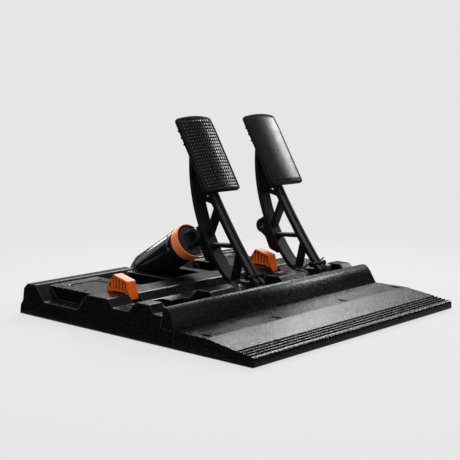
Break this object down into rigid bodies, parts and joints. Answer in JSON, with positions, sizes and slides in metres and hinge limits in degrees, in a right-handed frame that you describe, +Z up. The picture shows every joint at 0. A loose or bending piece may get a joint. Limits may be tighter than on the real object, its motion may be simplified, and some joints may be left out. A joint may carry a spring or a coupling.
{
  "type": "sim racing pedal set",
  "caption": "Floor-standing racing pedal set: tray base with heel plate, load-cell brake with inclined damper, sprung throttle and an empty bay with quick latches.",
  "frame": {"origin": "centre of the base's footprint, on the floor", "axes": "+X to the driver's right, +Y from the driver's heels to the rear of the set, +Z up"},
  "size_m": [0.3996, 0.4, 0.2524],
  "materials": {
    "base_plastic": "fine-grained moulded black",
    "arm_plastic": "satin black moulding",
    "pad_plastic": "grained black",
    "bracket_steel": "black powder coat",
    "steel": "zinc plated",
    "bush_metal": "plain bearing bronze",
    "spring_steel": "bright wire",
    "rubber": "matte black",
    "damper_black": "gloss black anodised",
    "cap_plastic": "matte black",
    "orange_metal": "orange anodised",
    "orange_plastic": "orange moulding",
    "elastomer": "polyurethane",
    "sensor_plastic": "black housing"
  },
  "bodies": {
    "base": {"base_tray": "base_plastic", "heel_plate": "base_plastic", "heel_bar": "base_plastic", "rubber_feet": "rubber", "heel_plate_screws": "steel", "heel_bar_screws": "steel", "control_box": "base_plastic", "usb_socket": "steel", "brake_bracket": "bracket_steel", "throttle_bracket": "bracket_steel", "bracket_screws": "steel", "brake_bushes": "bush_metal", "throttle_bushes": "bush_metal", "brake_bumper": "rubber", "throttle_bumper": "rubber", "throttle_sensor": "sensor_plastic", "throttle_springs": "spring_steel", "damper_pivot_pin": "steel", "latch_pins": "steel"},
    "brake_pedal": {"brake_arm": "arm_plastic", "brake_pad": "pad_plastic", "brake_pad_screws": "steel", "brake_axle": "steel", "brake_axle_clip": "steel", "brake_spacers": "steel", "brake_cross_pin": "steel", "fork_pin": "steel"},
    "throttle_pedal": {"throttle_arm": "arm_plastic", "throttle_pad": "pad_plastic", "throttle_pad_screws": "steel", "throttle_axle": "steel", "throttle_cross_pin": "steel", "sensor_magnet": "steel"},
    "damper": {"damper_body": "damper_black", "damper_rear_cap": "cap_plastic", "load_cell": "steel", "elastomers": "elastomer"},
    "piston": {"brake_piston": "damper_black", "piston_seal": "rubber"},
    "ring": {"preload_ring": "orange_metal"},
    "spare_latch": {"spare_bay_latch": "orange_plastic"},
    "throttle_side_latch": {"throttle_latch": "orange_plastic"}
  },
  "joints": [
    {"name": "brake_press", "type": "hinge", "parent": "base", "child": "brake_pedal", "pos_m": [0, -0.012, 0.032], "axis": [-1, 0, 0], "range_deg": [0, 8], "stiffness_Nm_per_rad": 250, "springref_deg": -1.15},
    {"name": "damper_swing", "type": "hinge", "parent": "base", "child": "damper", "pos_m": [0, 0.1774, 0.033], "axis": [1, 0, 0], "range_deg": [0, 3.2]},
    {"name": "piston_stroke", "type": "slide", "parent": "damper", "child": "piston", "axis": [0, 0.8661, -0.5], "range_m": [0, 0.0129], "deforming": ["elastomers"]},
    {"name": "preload_ring_turn", "type": "hinge", "parent": "damper", "child": "ring", "pos_m": [0, 0.07, 0.095], "axis": [0, 0.8661, -0.5], "continuous": true},
    {"name": "throttle_press", "type": "hinge", "parent": "base", "child": "throttle_pedal", "pos_m": [0.1334, -0.012, 0.032], "axis": [-1, 0, 0], "range_deg": [0, 16], "stiffness_Nm_per_rad": 14, "springref_deg": -11.46, "deforming": ["throttle_springs"]},
    {"name": "spare_latch_lift", "type": "hinge", "parent": "base", "child": "spare_latch", "pos_m": [-0.1531, 0.07, 0.04], "axis": [-1, 0, 0], "range_deg": [0, 35]},
    {"name": "throttle_latch_lift", "type": "hinge", "parent": "base", "child": "throttle_side_latch", "pos_m": [0.1137, 0.07, 0.04], "axis": [-1, 0, 0], "range_deg": [0, 35]}
  ],
  "couplings": [
    {"joint": "damper_swing", "follows": "brake_press", "ratio": 0.395},
    {"joint": "piston_stroke", "follows": "brake_press", "m_per_rad": 0.0916}
  ]
}
